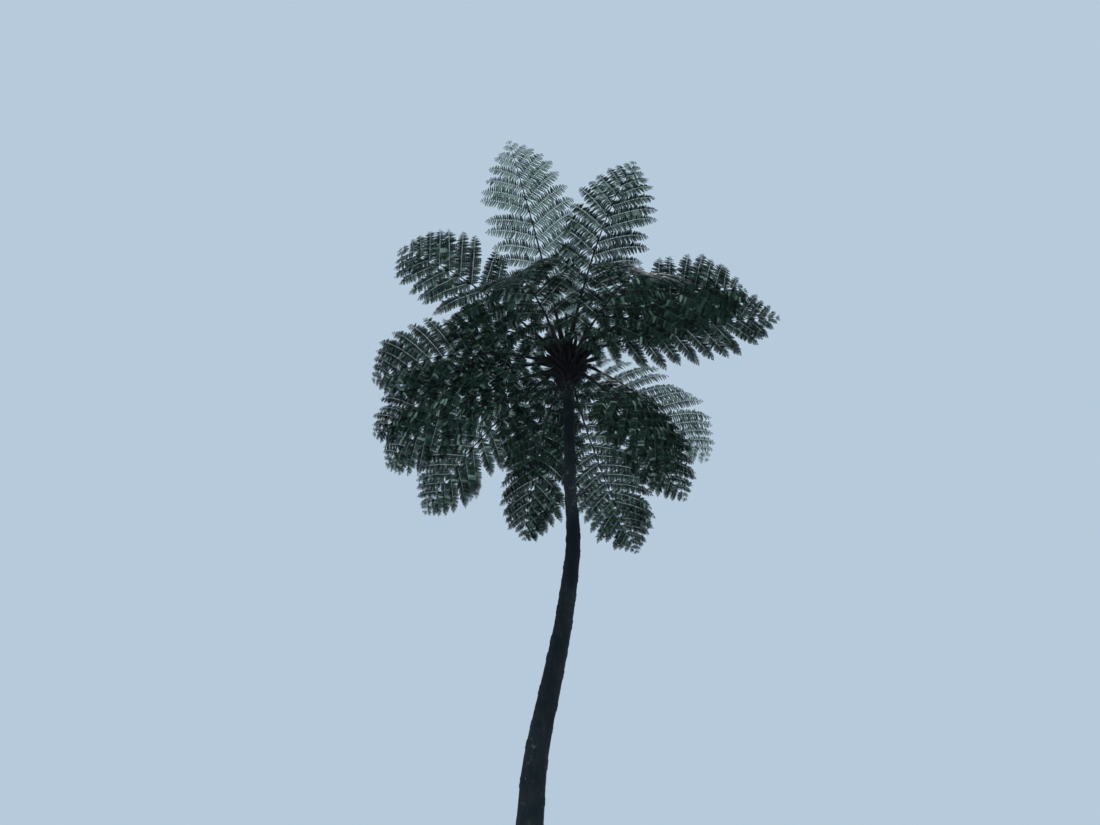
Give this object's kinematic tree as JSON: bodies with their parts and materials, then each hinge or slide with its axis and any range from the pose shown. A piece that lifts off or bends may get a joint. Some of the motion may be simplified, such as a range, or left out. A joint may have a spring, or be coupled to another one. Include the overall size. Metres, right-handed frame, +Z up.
{
  "type": "tree fern",
  "caption": "Tall tree fern: a slender leaning trunk, flared at the ground, with a flat crown of long arching feathery fronds round its tip.",
  "frame": {"origin": "middle of the flat cut under the trunk, at ground level", "axes": "+Z up along the trunk, +X to the side the trunk leans to, -Y toward the side the fern is seen from"},
  "size_m": [3.7721, 4.4419, 10.8751],
  "materials": {
    "bark": "rough fibrous dark grey-brown, with paler lichen",
    "leaf_bases": "dark brown scales, matt",
    "leaf": "dark green fern leaf, slightly satin, paler beneath",
    "young_leaf": "light green young fern leaf, slightly satin, paler beneath"
  },
  "bodies": {
    "root": {"trunk": "bark", "crown_head": "leaf_bases", "frond_near_left_inner": "young_leaf", "frond_near_left_outer": "young_leaf", "frond_near_right_inner": "young_leaf", "frond_near_right_outer": "young_leaf", "frond_front_left_inner": "leaf", "frond_front_left_outer": "leaf", "frond_front_right_inner": "leaf", "frond_front_right_outer": "leaf", "frond_right_up_inner": "leaf", "frond_right_up_outer": "leaf", "frond_right_inner": "leaf", "frond_right_outer": "leaf", "frond_right_down_inner": "young_leaf", "frond_right_down_outer": "young_leaf", "frond_right_low_inner": "leaf", "frond_right_low_outer": "leaf", "frond_back_right_inner": "leaf", "frond_back_right_outer": "leaf", "frond_back_middle_inner": "leaf", "frond_back_middle_outer": "leaf", "frond_back_left_inner": "leaf", "frond_back_left_outer": "leaf", "frond_back_left_high_inner": "leaf", "frond_back_left_high_outer": "leaf", "frond_left_back_inner": "leaf", "frond_left_back_outer": "leaf", "frond_left_down_inner": "leaf", "frond_left_down_outer": "leaf", "frond_left_low_inner": "leaf", "frond_left_low_outer": "leaf", "frond_left_inner": "leaf", "frond_left_outer": "leaf", "frond_left_up_inner": "leaf", "frond_left_up_outer": "leaf", "frond_high_right_inner": "leaf", "frond_high_right_outer": "leaf", "frond_high_left_inner": "leaf", "frond_high_left_outer": "leaf"}
  },
  "joints": []
}
